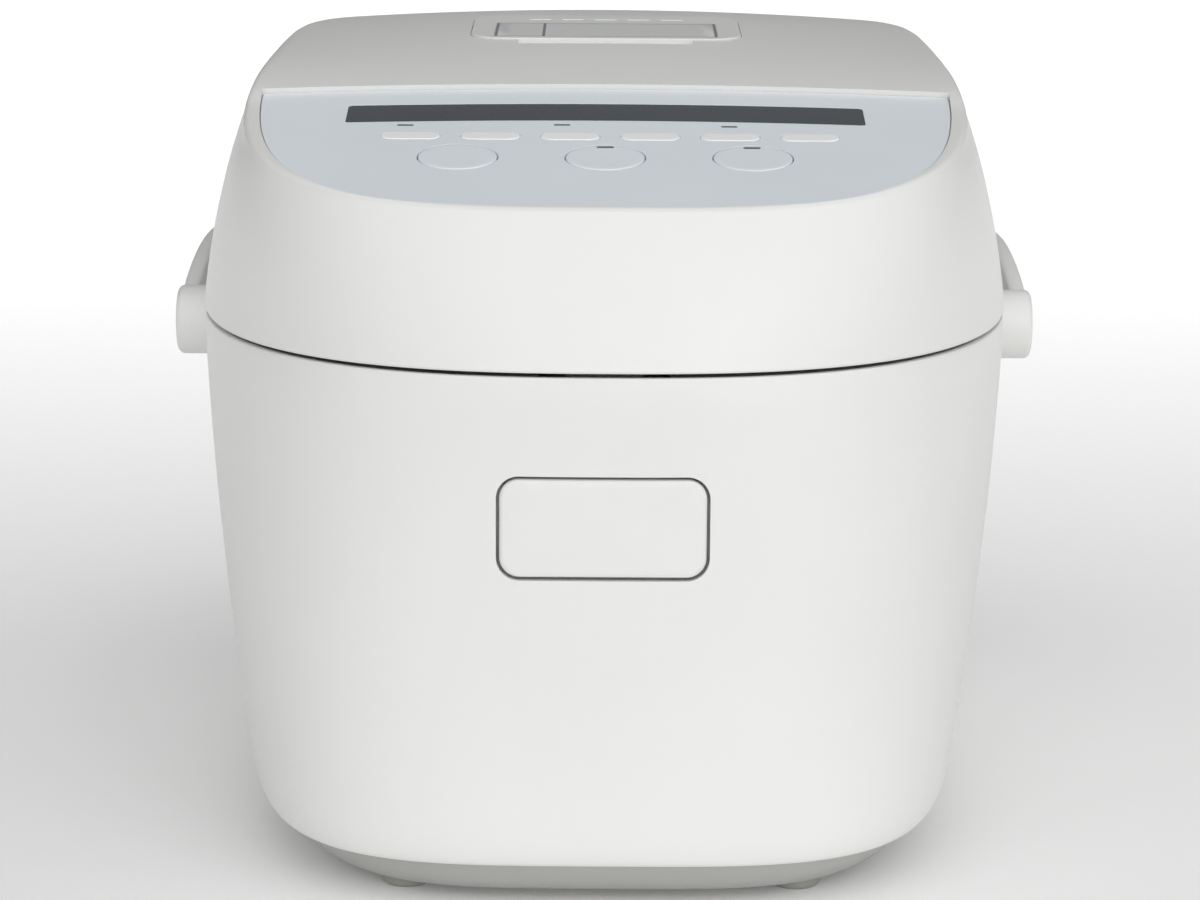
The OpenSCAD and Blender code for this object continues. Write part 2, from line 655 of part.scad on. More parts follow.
module steam_well() color("gainsboro") placed() difference() {
  union() {
    translate([0, cap_y, cap_floor - 2]) linear_extrude(14) pill(cap_w - 2, cap_d - 2, 11);
    translate([0, vent_y, 183.6]) cylinder(r = 12, h = 52);
  }
  translate([0, cap_y, cap_floor]) linear_extrude(20) pill(cap_w - 6, cap_d - 6, 9);
  translate([0, vent_y, 180]) cylinder(r = 9, h = 70);
}

// ---- Steam cap ----

module steam_cap() color("whitesmoke") placed() difference() {
  on_cap() translate([0, 0, -5.2]) linear_extrude(5.2) cap_outline(0);
  on_cap() translate([0, 0, -8]) linear_extrude(6) pill(cap_w - 5, cap_d - 5, 10);
  // Steam slots behind the label
  for (k = [-2 : 2]) translate([k * 12 - 4, cap_y + 18, 240]) cube([8, 1.6, 30]);
  // Label recess
  on_cap() translate([-39.7, -26.7, -0.5]) cube([79.4, 35.9, 2]);
}

module steam_label() color("lightgray") placed() on_cap() {
  translate([-39.5, -26.5, -0.5]) cube([79, 35.5, 0.5]);
}

module steam_cap_base() color("gainsboro") placed() difference() {
  translate([0, cap_y, cap_floor + 0.4]) linear_extrude(15.6) pill(cap_w - 7, cap_d - 7, 8.6);
  translate([0, cap_y, cap_floor + 2.4]) linear_extrude(20) pill(cap_w - 11, cap_d - 11, 7);
  for (k = [-1 : 1]) translate([k * 9, vent_y, 230]) cylinder(r = 3, h = 20);
}

outer_shell();
base_pan();
feet();
base_screws();
rating_plate();
top_frame();
inner_case();
side_heater();
hot_plate();
heater_element();
thermal_fuse();
sensor_bracket();
sensor_spring();
sensor_cap();
power_board();
board_components();
board_bracket();
power_inlet();
inlet_pins();
hinge_bracket();
hinge_pin();
hinge_springs();
hinge_cover();
latch_bracket();
latch_pin();
latch_spring();
latch_lever();
button_spring();
open_button();
handle_pivots();
handle();
handle_caps();
inner_pot();
lid_cover();
panel_fascia();
display_window();
display_module();
control_board();
tact_switches();
key_left();
key_middle();
key_right();
small_key_1();
small_key_2();
small_key_3();
small_key_4();
small_key_5();
small_key_6();
lid_base();
lid_screws();
lid_catch();
lid_heater();
inner_lid();
inner_lid_gasket();
steam_well();
steam_gasket();
steam_cap();
steam_cap_base();
steam_label();
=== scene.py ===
"""Rice cooker with a hinged lid and a tilted key panel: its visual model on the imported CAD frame.

Shapes are worked out in millimetres in the part's plan coordinates, where the body's middle is
at y = 0, and build() moves them into the row frame in metres."""
import json
import math

import bmesh
import bpy
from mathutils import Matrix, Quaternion, Vector


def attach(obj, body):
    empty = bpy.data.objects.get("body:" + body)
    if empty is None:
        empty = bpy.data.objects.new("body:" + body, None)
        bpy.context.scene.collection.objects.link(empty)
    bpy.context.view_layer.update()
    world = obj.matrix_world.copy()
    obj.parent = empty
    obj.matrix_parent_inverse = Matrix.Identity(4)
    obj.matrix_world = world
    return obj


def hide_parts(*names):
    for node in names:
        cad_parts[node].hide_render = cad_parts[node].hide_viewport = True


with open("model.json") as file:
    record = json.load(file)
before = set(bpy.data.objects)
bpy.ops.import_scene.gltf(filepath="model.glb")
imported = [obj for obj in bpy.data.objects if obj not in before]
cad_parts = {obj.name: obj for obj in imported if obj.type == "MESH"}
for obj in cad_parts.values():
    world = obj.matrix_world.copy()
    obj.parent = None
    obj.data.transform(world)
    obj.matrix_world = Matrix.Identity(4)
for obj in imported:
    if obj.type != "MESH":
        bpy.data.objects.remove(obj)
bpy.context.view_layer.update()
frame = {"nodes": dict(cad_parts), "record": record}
scene = bpy.context.scene

MM = 0.001
PLAN_Y = -11.0
MERGE = 0.000004

# Body: its lean and bow below the seam, its lower edge, and the crease under the seam
HALF_W = 136.9
HALF_D = 190.0
SEAM_Z = 171.6
SHELL_TOP = 170.9
RIM_Z = 15.5
WALL = 2.5
SIDE_LEAN, SIDE_BOW = 0.07, 0.00038
FRONT_LEAN, FRONT_BOW = 0.01, 0.00014
REAR_LEAN = 0.4 / 13
TOP_POWER, POWER_GAIN = 2.56, 1.19
REAR_POWER = 4.0
LOWER_EDGE_H, LOWER_EDGE_IN, LOWER_EDGE_POWER = 15.0, 4.7, 2.4
CREASE_DEPTH, CREASE_IN = 7.9, 0.5
RING = 288

# Base pan and feet
SCREW_X, SCREW_Y = 80, 118
FOOT_X, FOOT_Y = 62, 148

# Lid: its lean and bow above the seam, and the deck's rise and crown behind the panel
ROOF = 3.8
SEAM_GAP = 0.7
LID_SIDE_LEAN, LID_SIDE_BOW = 0.13, 0.00162
LID_FRONT_LEAN, LID_FRONT_BOW = 0.3, 0.0027
LID_REAR_LEAN, LID_REAR_BOW = 0.1, 0.0024
LID_POWER_GAIN = 0.79
LID_EDGE_H = 62
DECK_STEP = 1.4
DECK_RISE, DECK_BOW = 0.1955, 0.000703
DECK_CROWN = 4.6

# Panel frame, and what lies on the panel
PANEL_Y = -51.0
PANEL_Z = 244.0
TILT = math.radians(11.68)
PANEL_HALF = 114.4
PANEL_FRONT = 166.3
PANEL_POWER = 3.8
BACK_BOW, BACK_ARCH = 3, 7.3
FASCIA_TOP = -0.35
FASCIA_T = 1.6
FASCIA_LOW = FASCIA_TOP - FASCIA_T
DISPLAY_Y, DISPLAY_W, DISPLAY_H, DISPLAY_ARCH = -22.3, 168.8, 17.9, 6.5
DISPLAY_CORNER = 1.2
KEY_Y, KEY_R, KEY_PITCH = -69.8, 12.5, 46.7
PILL_Y, PILL_PITCH, PILL_SHIFT = -48.3, 25.7, 1.6
PILL_W, PILL_H, PILL_R = 19, 7.4, 3.6
KEY_SHOULDER = -2.4
KEY_FLOOR = -3.4

# Steam cap frame, the cap and the label on it
CAP_Y = 50.0
CAP_Z = 257.6
CAP_TILT = math.radians(3.1)
CAP_W, CAP_D, CAP_R = 96.0, 62.0, 12.0
LABEL_HALF, LABEL_FRONT, LABEL_BACK = 39.5, -26.5, 9
DISH_R, DISH_HALF = 9, 31

# Open button
BUTTON_Z = 124.5
BUTTON_Y = -189.5
BUTTON_W, BUTTON_H = 63.0, 30.4
BUTTON_EDGE = 1.3
FLANGE_BACK = -7.6
BOW_R = 480.0
LEAN = math.radians(1.3)

# Handle and hinge
PIVOT_Z = 158.0
PIVOT_HOLE_R = 4.05
HANDLE_HALF = 145.9
HANDLE_REACH = 206.0
HANDLE_RISE = 11.5
HANDLE_POWER = 4.4
ARM_HALF_H = 9.4
DISC_IN, DISC_OUT, DISC_R, DISC_EDGE = 137.9, 149.8, 12.1, 2.4
SOCKET_R, SOCKET_DEPTH = 9.05, 1.6
HINGE_Y, HINGE_Z = 182.0, 181.0
COVER_HALF, COVER_R = 39.0, 8.5
HEEL_R = 9.4

# Pot: a turned shell with a bend at the bottom and a rolled rim
POT_Y = -30.0
POT_R, POT_FLOOR, POT_T, POT_BEND = 108, 48, 2, 24
POT_RIM_Z = 168.5


# ---- Numbers and outlines ----

def smooth(a, b, v):
    """Smooth step from 0 at a to 1 at b."""
    t = min(1.0, max(0.0, (v - a) / (b - a)))
    return t * t * (3 - 2 * t)


def spow(v, p):
    """Power that keeps the sign."""
    return math.copysign(abs(v) ** p, v)


def ring_xy(t, half, front, rear, power):
    """Point of a superellipse whose front and rear halves have their own depth and squareness."""
    c, s = math.cos(t), math.sin(t)
    n, b = (power, front) if s < 0 else (REAR_POWER, rear)
    return half * spow(c, 2 / n), b * spow(s, 2 / n)


def ring_angles(steps=RING):
    """Angles round a ring, closer together at its corners."""
    turns = [2 * math.pi * i / steps for i in range(steps)]
    return [t + math.radians(6) * math.sin(4 * t) for t in turns]


def body_ring(z, inset):
    u = SEAM_Z - z
    half = HALF_W - SIDE_LEAN * u - SIDE_BOW * u * u - inset
    front = HALF_D - FRONT_LEAN * u - FRONT_BOW * u * u - inset
    rear = HALF_D - REAR_LEAN * u - inset
    power = TOP_POWER + POWER_GAIN * u / 156
    return [(*ring_xy(t, half, front, rear, power), z) for t in ring_angles()]


def panel_plane(y):
    return PANEL_Z + math.tan(TILT) * (y - PANEL_Y)


def lid_top(x, y):
    """Height of the lid's top: the panel's plane in front, and a crowned deck a small step above it."""
    s = y - PANEL_Y
    if s < 0:
        return panel_plane(y) + DECK_STEP * smooth(-16, -5, s)
    rise = DECK_STEP + DECK_RISE * s - DECK_BOW * s * s
    return PANEL_Z + rise - DECK_CROWN * smooth(0, 110, s) * (x / 117) ** 2


def edge_r(y):
    """Radius of the lid's upper edge, small round the panel and larger round the deck."""
    return 2.5 + 4.5 * smooth(-60, 40, y)


def lid_wall_xy(t, v, inset):
    half = HALF_W - LID_SIDE_LEAN * v - LID_SIDE_BOW * v * v - inset
    front = HALF_D - LID_FRONT_LEAN * v - LID_FRONT_BOW * v * v - inset
    rear = HALF_D - LID_REAR_LEAN * v - LID_REAR_BOW * v * v - inset
    return ring_xy(t, half, front, rear, TOP_POWER + LID_POWER_GAIN * min(1.0, v / 55))


def lid_edge_v(t):
    """Height above the seam where the lid's wall turns into its upper edge."""
    x, y = lid_wall_xy(t, LID_EDGE_H, 0)
    return lid_top(x, y) - edge_r(y) - SEAM_Z


def lid_wall_ring(level, inset):
    ring = []
    for t in ring_angles():
        v = SEAM_GAP + level * (lid_edge_v(t) - SEAM_GAP - inset)
        ring.append((*lid_wall_xy(t, v, inset), SEAM_Z + v))
    return ring


def lid_edge_ring(turn):
    """Ring on the lid's rounded upper edge, from 0 degrees at the wall to 90 at the top."""
    a = math.radians(turn)
    ring = []
    for t in ring_angles():
        x, y = lid_wall_xy(t, lid_edge_v(t), 0)
        r = edge_r(y)
        k = 1 - r * (1 - math.cos(a)) / math.hypot(x, y)
        x, y = x * k, y * k
        ring.append((x, y, lid_top(x, y) - r * (1 - math.sin(a))))
    return ring


def lid_top_ring(scale, inset):
    ring = []
    for t in ring_angles():
        x, y = lid_wall_xy(t, lid_edge_v(t) - inset, inset)
        k = (1 - edge_r(y) / math.hypot(x, y)) * scale
        ring.append((x * k, y * k, lid_top(x * k, y * k) - inset))
    return ring


def pill(w, h, r, steps=10):
    """Rounded rectangle centred on the origin, counter-clockwise."""
    points = []
    for k, (sx, sy) in enumerate([(1, 1), (-1, 1), (-1, -1), (1, -1)]):
        for i in range(steps + 1):
            a = math.radians(90 * (k + i / steps))
            points.append((sx * (w / 2 - r) + r * math.cos(a), sy * (h / 2 - r) + r * math.sin(a)))
    return points


def circle(r, steps=96):
    turns = [2 * math.pi * i / steps for i in range(steps)]
    return [(r * math.cos(t), r * math.sin(t)) for t in turns]


def arc(cx, cy, r, a0, a1, steps):
    """Points on an arc, with angles in degrees measured from straight down."""
    turns = [math.radians(a0 + (a1 - a0) * i / steps) for i in range(steps + 1)]
    return [(cx + r * math.sin(t), cy - r * math.cos(t)) for t in turns]


def shifted(points, dx, dy):
    return [(x + dx, y + dy) for x, y in points]


def arched(x, rise):
    """How far the lines across the panel fall back towards its sides."""
    return -rise * (x / 114) ** 2


def panel_outline(grow):
    """The key panel's outline in its own plane: a rounded front, and a back edge bowed at the middle."""
    half, front = PANEL_HALF + grow, PANEL_FRONT + grow
    points = []
    for t in ring_angles():
        x, y = ring_xy(t, half, front, front, PANEL_POWER)
        v = (y - PANEL_Y) / math.cos(TILT)
        if v < BACK_BOW + arched(x, BACK_ARCH) + grow - 0.4 and y < 0:
            points.append((x, v))
    points.sort(key=lambda p: p[0])
    left, right = points[0][0], points[-1][0]
    back = [right + (left - right) * k / 40 for k in range(41)]
    return points + [(x, BACK_BOW + arched(x, BACK_ARCH) + grow) for x in back]


def display_outline(grow):
    """The display's outline: a long bar bowed like the panel's back edge, with blunt corners."""
    half, h = DISPLAY_W / 2 + grow, DISPLAY_H / 2 + grow
    c, near = DISPLAY_CORNER, 0.35
    xs = [-half + c + 2 * (half - c) * k / 40 for k in range(41)]
    low = [(x, DISPLAY_Y + arched(x, DISPLAY_ARCH) - h) for x in xs]
    high = [(x, DISPLAY_Y + arched(x, DISPLAY_ARCH) + h) for x in reversed(xs)]
    end = DISPLAY_Y + arched(half, DISPLAY_ARCH)
    right = [(half - near, end - h + near), (half, end - h + c),
             (half, end + h - c), (half - near, end + h - near)]
    left = [(-x, y) for x, y in reversed(right)]
    return low + right + high + left


def pill_x(k):
    return (k - 2.5) * PILL_PITCH + PILL_SHIFT


# ---- Places: from a piece's own coordinates to the plan's ----

def plan(x, y, z):
    return x, y, z


def tilted(x, y, w, origin_y, origin_z, angle):
    """Point y along and w above a plane that rises backwards at an angle."""
    return (x, origin_y + y * math.cos(angle) - w * math.sin(angle),
            origin_z + y * math.sin(angle) + w * math.cos(angle))


def on_panel(x, y, w):
    return tilted(x, y, w, PANEL_Y, PANEL_Z, TILT)


def on_cap(x, y, w):
    return tilted(x, y, w, CAP_Y, CAP_Z, CAP_TILT)


def over_cap(x, y, w):
    """Straight up through the steam cap's pocket."""
    return x, CAP_Y + y, w


def on_button(x, y, w):
    """w is outwards: from the bowed and leaning face in front, and from a flat plane behind the flange."""
    if w <= FLANGE_BACK:
        return x, BUTTON_Y - w, BUTTON_Z + y
    bow = BOW_R - math.sqrt(BOW_R * BOW_R - x * x)
    return x, BUTTON_Y + bow - y * math.tan(LEAN) - w, BUTTON_Z + y


def through_front(x, y, w):
    """w is backwards from 20 mm behind the body's front face."""
    return x, 20 - HALF_D - w, BUTTON_Z + y


def on_right(x, y, w):
    """w is along X from the middle, and x, y lie in the plane of the handle's disc."""
    return w, x, PIVOT_Z + y


def on_left(x, y, w):
    return -w, x, PIVOT_Z + y


# ---- Mesh making ----

def build(name, points, faces, place=plan):
    verts = [place(*p) for p in points]
    mesh = bpy.data.meshes.new(name)
    mesh.from_pydata([(x * MM, (y + PLAN_Y) * MM, z * MM) for x, y, z in verts], [], faces)
    mesh.validate()
    obj = bpy.data.objects.new(name, mesh)
    scene.collection.objects.link(obj)
    merge_and_orient(mesh)
    return obj


def merge_and_orient(mesh):
    """Merges points that fall together and turns every face outwards."""
    bm = bmesh.new()
    bm.from_mesh(mesh)
    bmesh.ops.remove_doubles(bm, verts=bm.verts, dist=MERGE)
    bmesh.ops.recalc_face_normals(bm, faces=bm.faces)
    bm.to_mesh(mesh)
    bm.free()


def skin(rings, looped=False, closed=True):
    """Points and faces of a skin through rings of equal length."""
    size, count = len(rings[0]), len(rings)
    points = [p for ring in rings for p in ring]
    faces = []
    for k in range(count if looped else count - 1):
        a, b = k * size, ((k + 1) % count) * size
        for i in range(size):
            j = (i + 1) % size
            faces.append((a + i, a + j, b + j, b + i))
    if closed and not looped:
        faces.append(tuple(range(size))[::-1])
        faces.append(tuple((count - 1) * size + i for i in range(size)))
    return points, faces


def joined(parts):
    """One list of points and faces from several."""
    points, faces = [], []
    for p, f in parts:
        at = len(points)
        points += p
        faces += [tuple(i + at for i in face) for face in f]
    return points, faces


def prism(outline, low, high):
    return skin([[(x, y, low) for x, y in outline], [(x, y, high) for x, y in outline]])


def box(x0, x1, y0, y1, z0, z1):
    return prism([(x0, y0), (x1, y0), (x1, y1), (x0, y1)], z0, z1)


def along_x(outline, half):
    """Prism along X, as long to both sides, of an outline drawn in (y, z)."""
    return skin([[(x, y, z) for y, z in outline] for x in (-half, half)])


def lathe(profile, steps=128, centre=(0, 0)):
    """Points and faces of a turned shape: the profile is (radius, height) from axis to axis or looped."""
    rings = [[(x, y, z) for x, y in shifted(circle(r, steps), *centre)] for r, z in profile]
    on_axis = profile[0][0] < 0.01 and profile[-1][0] < 0.01
    return skin(rings, looped=not on_axis, closed=False)


def topped(outline, rows, centre_w):
    """Rounded button or plate: rows are (inset, w) round its edge, and its top closes to the middle."""
    cx = sum(p[0] for p in outline) / len(outline)
    cy = sum(p[1] for p in outline) / len(outline)
    reach = min(math.hypot(x - cx, y - cy) for x, y in outline)
    last_inset, last_w = rows[-1]
    edge = [(1 - inset / reach, w) for inset, w in rows]
    crown = [((1 - last_inset / reach) * part, last_w + (centre_w - last_w) * (1 - part ** 2))
             for part in (0.85, 0.68, 0.5, 0.32, 0.16, 0.02)]
    return skin([[(cx + (x - cx) * k, cy + (y - cy) * k, w) for x, y in outline] for k, w in edge + crown])


def quarter_round(r, top, steps):
    """Rows (inset, w) over a rounded edge of radius r, after the straight side below it."""
    turns = [math.radians(90 * i / steps) for i in range(1, steps + 1)]
    return [(r * (1 - math.cos(a)), top - r + r * math.sin(a)) for a in turns]


def rounded_edge(r, top, low, steps=4):
    """Rows for topped(): a straight side from low up to a rounded edge of radius r."""
    return [(0, low), (0, top - r)] + quarter_round(r, top, steps)


def evaluated_mesh(obj):
    graph = bpy.context.evaluated_depsgraph_get()
    return bpy.data.meshes.new_from_object(obj.evaluated_get(graph))


def cut(obj, cutters):
    """Cuts several shapes out of obj, one after the other."""
    tools = []
    for k, (shape, place) in enumerate(cutters):
        tool = build(f"{obj.name}_tool_{k}", *shape, place)
        modifier = obj.modifiers.new(f"cut_{k}", "BOOLEAN")
        modifier.object = tool
        modifier.operation = "DIFFERENCE"
        modifier.solver = "EXACT"
        tools.append(tool)
    mesh = evaluated_mesh(obj)
    obj.modifiers.clear()
    obj.data = mesh
    for tool in tools:
        bpy.data.objects.remove(tool)


def bevelled_plate(name, loops, low, high, r, place):
    """Flat plate with rounded edges round its outline and its holes."""
    curve = bpy.data.curves.new(name, "CURVE")
    curve.dimensions = "2D"
    curve.fill_mode = "BOTH"
    curve.extrude = (high - low) / 2 - r
    curve.bevel_depth = r
    curve.bevel_resolution = 2
    curve.offset = -r
    for loop in loops:
        spline = curve.splines.new("POLY")
        spline.points.add(len(loop) - 1)
        for point, (x, y) in zip(spline.points, loop):
            point.co = (x, y, 0, 1)
        spline.use_cyclic_u = True
    flat = bpy.data.objects.new(name + "_flat", curve)
    scene.collection.objects.link(flat)
    mesh = evaluated_mesh(flat)
    bpy.data.objects.remove(flat)
    middle = (high + low) / 2
    points = [(v.co.x, v.co.y, v.co.z + middle) for v in mesh.vertices]
    faces = [tuple(p.vertices) for p in mesh.polygons]
    bpy.data.meshes.remove(mesh)
    return build(name, points, faces, place)


def finish(obj, body, slot, *nodes, sharp=32, weighted=False, look=None):
    """Shades a piece, gives it its finish and fixes it to its body in place of its CAD nodes."""
    obj.data.shade_smooth()
    obj.data.set_sharp_from_angle(angle=math.radians(sharp))
    if weighted:
        modifier = obj.modifiers.new("even_normals", "WEIGHTED_NORMAL")
        modifier.keep_sharp = True
    obj.data.materials.clear()
    obj.data.materials.append(look or finishes[slot])
    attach(obj, body)
    if nodes:
        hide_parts(*nodes)


# ---- Finishes ----

def linear(c):
    """Linear light from an sRGB value of 0 to 255."""
    c = c / 255
    return c / 12.92 if c <= 0.04045 else ((c + 0.055) / 1.055) ** 2.4


def finish_material(name, colour, spread=0.04, roughness=0.4, rough_spread=0.06, metallic=0.0, grain=600.0,
                    bump=0.05, cloud=14.0, specular=0.5):
    """Procedural finish: a slow tone change over the part, and a fine grain in its gloss and relief."""
    material = bpy.data.materials.new(name)
    material.use_nodes = True
    nodes, links = material.node_tree.nodes, material.node_tree.links
    shader = next(n for n in nodes if n.type == "BSDF_PRINCIPLED")
    shader.inputs["Metallic"].default_value = metallic
    shader.inputs["Specular IOR Level"].default_value = specular
    coords = nodes.new("ShaderNodeTexCoord")
    slow = nodes.new("ShaderNodeTexNoise")
    slow.inputs["Scale"].default_value = cloud
    slow.inputs["Detail"].default_value = 3
    links.new(coords.outputs["Object"], slow.inputs["Vector"])
    ramp = nodes.new("ShaderNodeValToRGB")
    base = [linear(c) for c in colour]
    low, high = ramp.color_ramp.elements
    low.position = 0.3
    high.position = 0.7
    low.color = (*[max(0.0, c * (1 - spread)) for c in base], 1)
    high.color = (*[min(1.0, c * (1 + spread)) for c in base], 1)
    links.new(slow.outputs["Fac"], ramp.inputs["Fac"])
    links.new(ramp.outputs["Color"], shader.inputs["Base Color"])
    fine = nodes.new("ShaderNodeTexNoise")
    fine.inputs["Scale"].default_value = grain
    fine.inputs["Detail"].default_value = 2
    links.new(coords.outputs["Object"], fine.inputs["Vector"])
    gloss = nodes.new("ShaderNodeMapRange")
    gloss.inputs["To Min"].default_value = max(0.02, roughness - rough_spread)
    gloss.inputs["To Max"].default_value = min(1.0, roughness + rough_spread)
    links.new(fine.outputs["Fac"], gloss.inputs["Value"])
    links.new(gloss.outputs["Result"], shader.inputs["Roughness"])
    relief = nodes.new("ShaderNodeBump")
    relief.inputs["Strength"].default_value = bump
    relief.inputs["Distance"].default_value = 0.0002
    links.new(fine.outputs["Fac"], relief.inputs["Height"])
    links.new(relief.outputs["Normal"], shader.inputs["Normal"])
    return material


finishes = {
    "white_plastic": finish_material("white_plastic", (235, 235, 233), 0.012, 0.38, grain=900, bump=0.04),
    "panel_film": finish_material("panel_film", (233, 240, 245), 0.015, 0.42, grain=1400, bump=0.03),
    "key_film": finish_material("key_film", (235, 242, 246), 0.015, 0.4, grain=1400, bump=0.03),
    "dark_window": finish_material("dark_window", (84, 88, 92), 0.05, 0.3, grain=1200, bump=0.02),
    # grey_plastic: its grey is painted shade, standing for the downward-facing base pan's white plastic in
    # shadow under the body
    "grey_plastic": finish_material("grey_plastic", (176, 176, 173), 0.03, 0.5, grain=700, bump=0.08),
    "light_grey_plastic": finish_material("light_grey_plastic", (206, 208, 208), 0.03, 0.45, grain=800),
    "black_plastic": finish_material("black_plastic", (34, 35, 37), 0.12, 0.45, grain=900, bump=0.06),
    "green_board": finish_material("green_board", (38, 92, 58), 0.18, 0.4, cloud=60, grain=500),
    "rubber": finish_material("rubber", (158, 158, 152), 0.08, 0.7, grain=500, bump=0.15),
    "silicone": finish_material("silicone", (188, 190, 190), 0.05, 0.5, grain=300),
    "steel": finish_material("steel", (196, 198, 200), 0.06, 0.3, 0.1, 1.0, grain=700, bump=0.04),
    "aluminium": finish_material("aluminium", (205, 206, 208), 0.05, 0.36, 0.1, 1.0, grain=900),
    "cast_aluminium": finish_material("cast_aluminium", (168, 170, 172), 0.1, 0.5, 0.12, 1.0, grain=380,
                                      bump=0.2),
    "pot_coating": finish_material("pot_coating", (66, 66, 68), 0.16, 0.42, 0.12, 0.25, cloud=300, grain=1500,
                                   bump=0.08),
    "spring_steel": finish_material("spring_steel", (170, 172, 176), 0.08, 0.28, 0.08, 1.0, grain=1500,
                                    bump=0.03),
    "mica": finish_material("mica", (196, 178, 146), 0.14, 0.5, cloud=80, grain=300, bump=0.12),
    "label_film": finish_material("label_film", (226, 227, 227), 0.02, 0.35, grain=1200, bump=0.02),
}
ink = finish_material("ink", (132, 136, 138), 0.03, 0.5, grain=1200, bump=0.02)
pill_film = finish_material("pill_film", (252, 254, 255), 0.01, 0.36, grain=1400, bump=0.03)
lamp_lens = finish_material("lamp_lens", (112, 118, 122), 0.04, 0.3, grain=900, bump=0.02)


# ---- Camera, floor and light ----

def make_camera():
    """Long lens in front of the cooker, looking down on it, with a slight roll."""
    data = bpy.data.cameras.new("camera")
    data.lens = 108
    data.sensor_width = 36
    data.shift_x = -0.0029
    camera = bpy.data.objects.new("camera", data)
    scene.collection.objects.link(camera)
    camera.location = (0, -1.2642, 0.3584)
    look_down = Quaternion((1, 0, 0), math.radians(90 - 11.13))
    roll = Quaternion((0, 0, 1), math.radians(0.35))
    camera.rotation_mode = "QUATERNION"
    camera.rotation_quaternion = look_down @ roll
    scene.camera = camera
    scene.view_settings.view_transform = "Standard"


def make_floor(half=40, glow_near=0.05, glow_far=0.55):
    """Wide pale floor that glows a little more towards the back, like a lit paper sweep."""
    mesh = bpy.data.meshes.new("floor")
    corners = [(-half, -half, 0), (half, -half, 0), (half, half, 0), (-half, half, 0)]
    mesh.from_pydata(corners, [], [(0, 1, 2, 3)])
    floor = bpy.data.objects.new("floor", mesh)
    scene.collection.objects.link(floor)
    pale = finish_material("pale_floor", (250, 250, 250), 0.004, 0.8, grain=40, bump=0.0, cloud=0.6,
                           specular=0.1)
    nodes, links = pale.node_tree.nodes, pale.node_tree.links
    shader = next(n for n in nodes if n.type == "BSDF_PRINCIPLED")
    shader.inputs["Emission Color"].default_value = (1, 1, 1, 1)
    coords = next(n for n in nodes if n.type == "TEX_COORD")
    split = nodes.new("ShaderNodeSeparateXYZ")
    glow = nodes.new("ShaderNodeMapRange")
    glow.interpolation_type = "SMOOTHSTEP"
    for socket, value in (("From Min", -0.4), ("From Max", 1.8), ("To Min", glow_near), ("To Max", glow_far)):
        glow.inputs[socket].default_value = value
    links.new(coords.outputs["Object"], split.inputs["Vector"])
    links.new(split.outputs["Y"], glow.inputs["Value"])
    links.new(glow.outputs["Result"], shader.inputs["Emission Strength"])
    mesh.materials.append(pale)


def make_world(towards, dim, bright):
    """Even white surroundings that brighten smoothly towards one direction."""
    world = bpy.data.worlds.new("studio")
    world.use_nodes = True
    nodes, links = world.node_tree.nodes, world.node_tree.links
    coords = nodes.new("ShaderNodeTexCoord")
    facing = nodes.new("ShaderNodeVectorMath")
    facing.operation = "DOT_PRODUCT"
    facing.inputs[1].default_value = Vector(towards).normalized()
    links.new(coords.outputs["Generated"], facing.inputs[0])
    level = nodes.new("ShaderNodeMapRange")
    level.inputs["To Min"].default_value = dim
    level.inputs["To Max"].default_value = bright
    links.new(facing.outputs["Value"], level.inputs["Value"])
    nodes["Background"].inputs["Color"].default_value = (1, 1, 1, 1)
    links.new(level.outputs["Result"], nodes["Background"].inputs["Strength"])
    scene.world = world


def make_front_light():
    """One soft light in front, from the upper right."""
    data = bpy.data.lights.new("front_light", "AREA")
    data.shape = "RECTANGLE"
    data.size, data.size_y = 1.2, 0.9
    data.energy = 3
    light = bpy.data.objects.new("front_light", data)
    light.location = (0.7, -2.2, 1.0)
    scene.collection.objects.link(light)
    light.rotation_mode = "QUATERNION"
    light.rotation_quaternion = (Vector((0, 0, 0.12)) - light.location).to_track_quat("-Z", "Y")


# ---- Body, base pan and feet ----

def edge_inset(z):
    """How far the shell turns in at its lower edge, and above the crease under the seam."""
    drop = 1 - min(1.0, (z - RIM_Z) / LOWER_EDGE_H)
    lower = LOWER_EDGE_IN * (1 - (1 - drop ** LOWER_EDGE_POWER) ** (1 / LOWER_EDGE_POWER))
    crease = CREASE_IN * min(1.0, max(0.0, z - (SEAM_Z - CREASE_DEPTH)) / CREASE_DEPTH)
    return lower + crease


def make_body_shell(lip_r=0.5, straight_from=34):
    crease_z = SEAM_Z - CREASE_DEPTH
    low_rows = [RIM_Z + LOWER_EDGE_H * (i / 14) ** 2 for i in range(15)]
    mid_rows = [straight_from + (crease_z - straight_from) * i / 22 for i in range(23)]
    top_rows = [crease_z + 0.35, SEAM_Z - 5.5, SEAM_Z - 3, SHELL_TOP - 0.8]
    outer = [body_ring(z, edge_inset(z)) for z in low_rows + mid_rows + top_rows]
    lip = [body_ring(SHELL_TOP - lip_r * (1 - math.sin(a)), 0.45 + lip_r * (1 - math.cos(a)))
           for a in (math.radians(d) for d in (15, 45, 90))]
    inner = [body_ring(z, WALL) for z in (SHELL_TOP, 150, 100, 32)]
    inner += [body_ring(22, WALL + 1), body_ring(RIM_Z, 6.2)]
    shell = build("body_shell", *skin(outer + lip + inner, looped=True))
    pivot_hole = prism(circle(PIVOT_HOLE_R, 48), 120, 150)
    hinge_half = COVER_HALF + 0.2
    cut(shell, [
        (prism(pill(BUTTON_W + 2, BUTTON_H + 2, 7), 0, 40), through_front),
        (box(-hinge_half, hinge_half, HINGE_Y - 6, HINGE_Y + 14, 162, 182), plan),
        (pivot_hole, on_right),
        (pivot_hole, on_left),
        (box(-63.2, -32.8, 170, 200, 39.8, 64.2), plan),
    ])
    finish(shell, "body", "white_plastic", "outer_shell", sharp=28)


